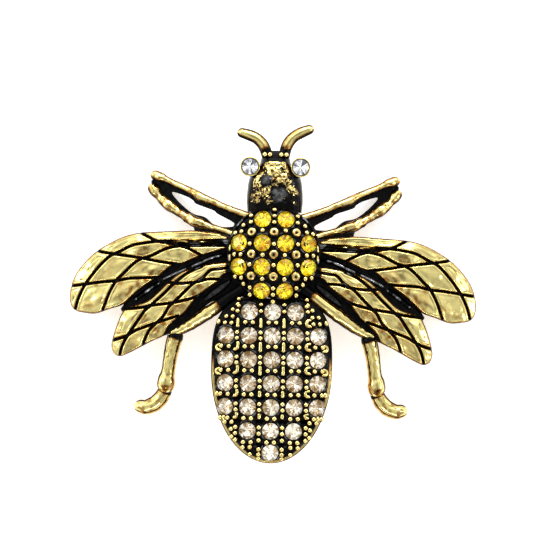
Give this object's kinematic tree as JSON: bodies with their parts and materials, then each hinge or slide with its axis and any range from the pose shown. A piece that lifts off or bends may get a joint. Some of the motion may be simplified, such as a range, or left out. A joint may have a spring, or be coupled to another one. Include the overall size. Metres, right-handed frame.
{
  "type": "insect brooch",
  "caption": "Cast bee brooch with veined wings, a stone-paved thorax and abdomen, and a straight pin on the back.",
  "frame": {"origin": "on the surface that the brooch rests on, under the middle of its outline", "axes": "+X to the right as seen from the front, +Y towards the head, +Z out of the front of the brooch"},
  "size_m": [0.06, 0.0493, 0.0083],
  "materials": {
    "antique_gold": "cast, antique gold plating with glossy black patina in the recesses",
    "pin_metal": "satin gold-tone wire and strip",
    "clear_stone": "faceted, foil-backed",
    "yellow_stone": "faceted, foil-backed",
    "champagne_stone": "faceted, foil-backed"
  },
  "bodies": {
    "root": {"casting": "antique_gold", "pin_finding": "pin_metal", "eye_stone_left": "clear_stone", "eye_stone_right": "clear_stone", "citrine_stone_1": "yellow_stone", "citrine_stone_2": "yellow_stone", "citrine_stone_3": "yellow_stone", "citrine_stone_4": "yellow_stone", "citrine_stone_5": "yellow_stone", "citrine_stone_6": "yellow_stone", "citrine_stone_7": "yellow_stone", "citrine_stone_8": "yellow_stone", "citrine_stone_9": "yellow_stone", "citrine_stone_10": "yellow_stone", "citrine_stone_11": "yellow_stone", "citrine_stone_12": "yellow_stone", "champagne_stone_1": "champagne_stone", "champagne_stone_2": "champagne_stone", "champagne_stone_3": "champagne_stone", "champagne_stone_4": "champagne_stone", "champagne_stone_5": "champagne_stone", "champagne_stone_6": "champagne_stone", "champagne_stone_7": "champagne_stone", "champagne_stone_8": "champagne_stone", "champagne_stone_9": "champagne_stone", "champagne_stone_10": "champagne_stone", "champagne_stone_11": "champagne_stone", "champagne_stone_12": "champagne_stone", "champagne_stone_13": "champagne_stone", "champagne_stone_14": "champagne_stone", "champagne_stone_15": "champagne_stone", "champagne_stone_16": "champagne_stone", "champagne_stone_17": "champagne_stone", "champagne_stone_18": "champagne_stone", "champagne_stone_19": "champagne_stone", "champagne_stone_20": "champagne_stone", "champagne_stone_21": "champagne_stone", "champagne_stone_22": "champagne_stone", "champagne_stone_23": "champagne_stone", "champagne_stone_24": "champagne_stone", "champagne_stone_25": "champagne_stone", "champagne_stone_26": "champagne_stone", "champagne_stone_27": "champagne_stone"}
  },
  "joints": []
}
